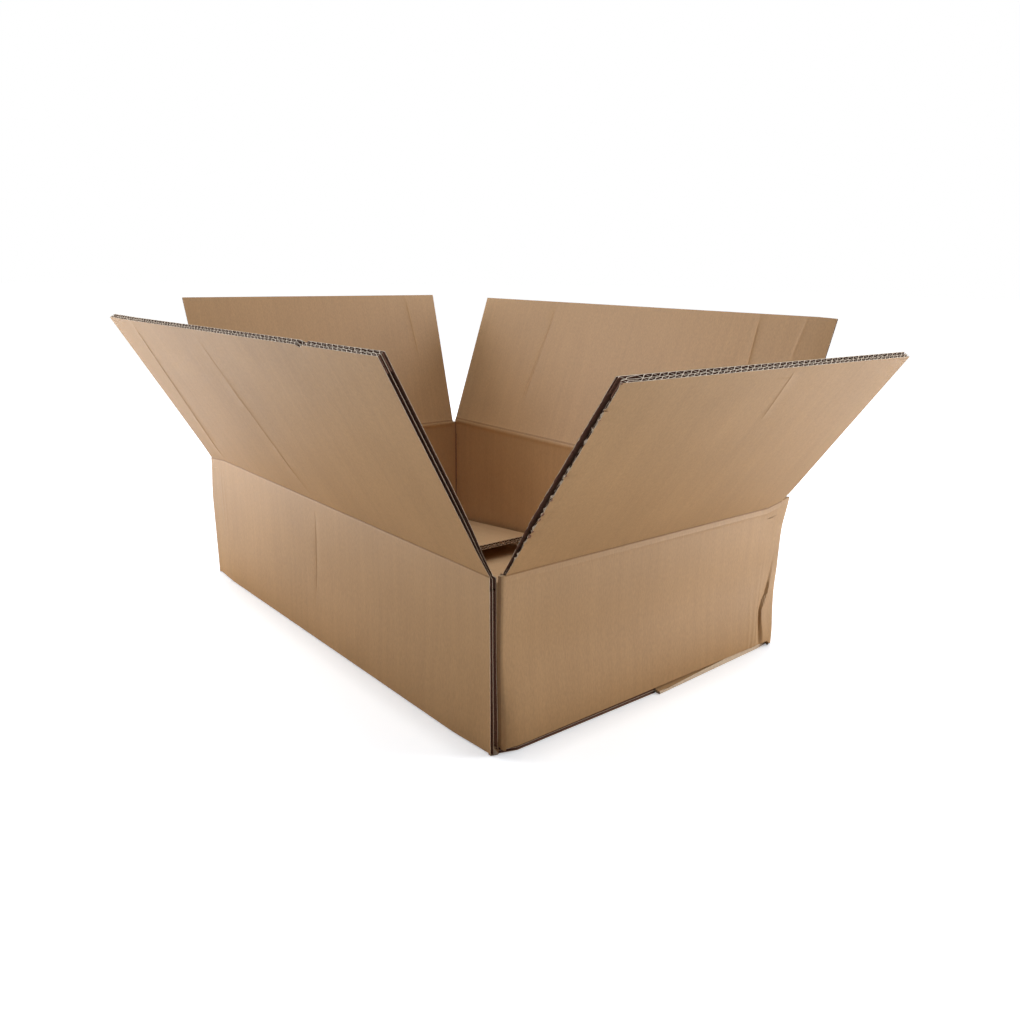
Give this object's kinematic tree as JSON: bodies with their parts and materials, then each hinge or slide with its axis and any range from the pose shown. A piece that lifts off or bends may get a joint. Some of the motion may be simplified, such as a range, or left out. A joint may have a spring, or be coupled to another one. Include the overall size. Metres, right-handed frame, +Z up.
{
  "type": "open cardboard box",
  "caption": "Open double-wall corrugated box: walls and folded bottom from one creased and glued sheet, with top flaps that swing from shut to folded back.",
  "frame": {"origin": "middle of the base, on the floor", "axes": "+Z up, X along the long walls, Y along the short walls; the front wall faces -Y and the right wall faces +X"},
  "size_m": [0.7681, 0.5585, 0.3558],
  "materials": {
    "kraft_board": "matte"
  },
  "bodies": {
    "shell": {"box_shell": "kraft_board"},
    "front_flap": {"front_flap": "kraft_board"},
    "back_flap": {"back_flap": "kraft_board"},
    "left_flap": {"left_flap": "kraft_board"},
    "right_flap": {"right_flap": "kraft_board"}
  },
  "joints": [
    {"name": "front_crease", "type": "hinge", "parent": "shell", "child": "front_flap", "pos_m": [0, -0.2, 0.16377], "axis": [1, 0, 0], "range_deg": [-118.6, 106.4]},
    {"name": "back_crease", "type": "hinge", "parent": "shell", "child": "back_flap", "pos_m": [0, 0.2, 0.16408], "axis": [-1, 0, 0], "range_deg": [-108.3, 116.7]},
    {"name": "left_crease", "type": "hinge", "parent": "shell", "child": "left_flap", "pos_m": [-0.3, 0, 0.15842], "axis": [0, -1, 0], "range_deg": [-105.5, 119.5]},
    {"name": "right_crease", "type": "hinge", "parent": "shell", "child": "right_flap", "pos_m": [0.3, 0, 0.15898], "axis": [0, 1, 0], "range_deg": [-125, 100]}
  ]
}
